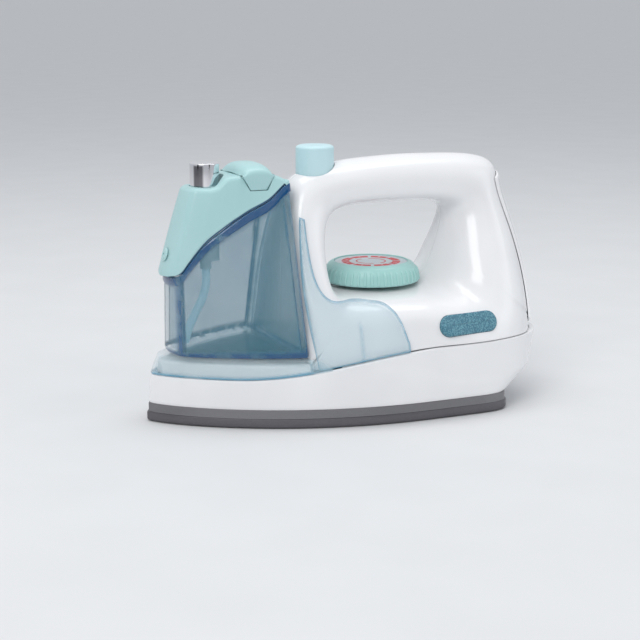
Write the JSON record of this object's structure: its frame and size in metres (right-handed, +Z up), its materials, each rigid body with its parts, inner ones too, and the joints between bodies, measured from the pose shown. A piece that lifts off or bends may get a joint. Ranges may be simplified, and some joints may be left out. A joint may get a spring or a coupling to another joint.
{
  "type": "toy iron",
  "caption": "Toy iron with a dark soleplate, white body and loop handle, clear front cradle, lift-out blue water tank with pump button and filler cap, steam button and turning dial.",
  "frame": {"origin": "middle of the soleplate's underside, at the centre of the overall box", "axes": "+Z up, -X towards the pointed nose, -Y towards the side seen in the picture"},
  "size_m": [0.1841, 0.1, 0.117],
  "materials": {
    "white_gloss": "gloss",
    "gunmetal": "metallic satin",
    "clear_ice": "clear gloss",
    "clear_blue": "clear gloss",
    "mint": "satin",
    "pale_mint": "satin",
    "teal_lens": "textured gloss",
    "label_white": "printed",
    "seal_white": "matt",
    "black_plastic": "matt",
    "board_green": "matt",
    "cell_steel": "gloss",
    "plated_steel": "plated",
    "chrome": "polished"
  },
  "bodies": {
    "housing": {"soleplate": "gunmetal", "base_skirt": "white_gloss", "cradle_base": "white_gloss", "front_cover": "clear_ice", "body_left": "white_gloss", "body_right": "white_gloss", "heel_cover": "white_gloss", "lens_left": "teal_lens", "lens_right": "teal_lens", "leds": "clear_ice", "circuit_board": "board_green", "speaker": "black_plastic", "battery_box": "black_plastic", "battery_cells": "cell_steel", "battery_contacts": "plated_steel", "battery_springs": "plated_steel", "battery_door": "gunmetal", "door_screw": "plated_steel", "button_guide": "white_gloss", "push_switch": "black_plastic", "button_spring": "plated_steel", "dial_spindle": "white_gloss", "body_screws": "plated_steel", "sole_screws": "plated_steel", "dial_screw": "plated_steel"},
    "steam": {"steam_button": "pale_mint"},
    "dial": {"temperature_dial": "mint", "dial_label": "label_white"},
    "tank": {"water_tank": "clear_blue", "tank_head": "mint", "tank_gasket": "seal_white", "spray_nozzle": "mint", "pump_cylinder": "seal_white", "pump_spring": "plated_steel", "dip_tube": "clear_ice"},
    "spray": {"spray_button": "chrome", "pump_piston": "seal_white"},
    "cap": {"filler_cap": "mint", "cap_seal": "seal_white"}
  },
  "joints": [
    {"name": "steam_press", "type": "slide", "parent": "housing", "child": "steam", "axis": [0, 0, -1], "range_m": [0, 0.0025], "stiffness_N_per_m": 500, "deforming": ["button_spring"]},
    {"name": "dial_turn", "type": "hinge", "parent": "housing", "child": "dial", "pos_m": [0.01601, 0, 0.0544], "axis": [0, 0, 1], "continuous": true},
    {"name": "tank_lift", "type": "slide", "parent": "housing", "child": "tank", "axis": [0, 0, 1], "range_m": [0, 0.06]},
    {"name": "spray_press", "type": "slide", "parent": "tank", "child": "spray", "axis": [0, 0, -1], "range_m": [0, 0.004], "stiffness_N_per_m": 400, "deforming": ["pump_spring"]},
    {"name": "cap_lift", "type": "slide", "parent": "tank", "child": "cap", "axis": [0, 0, 1], "range_m": [0, 0.012]}
  ]
}
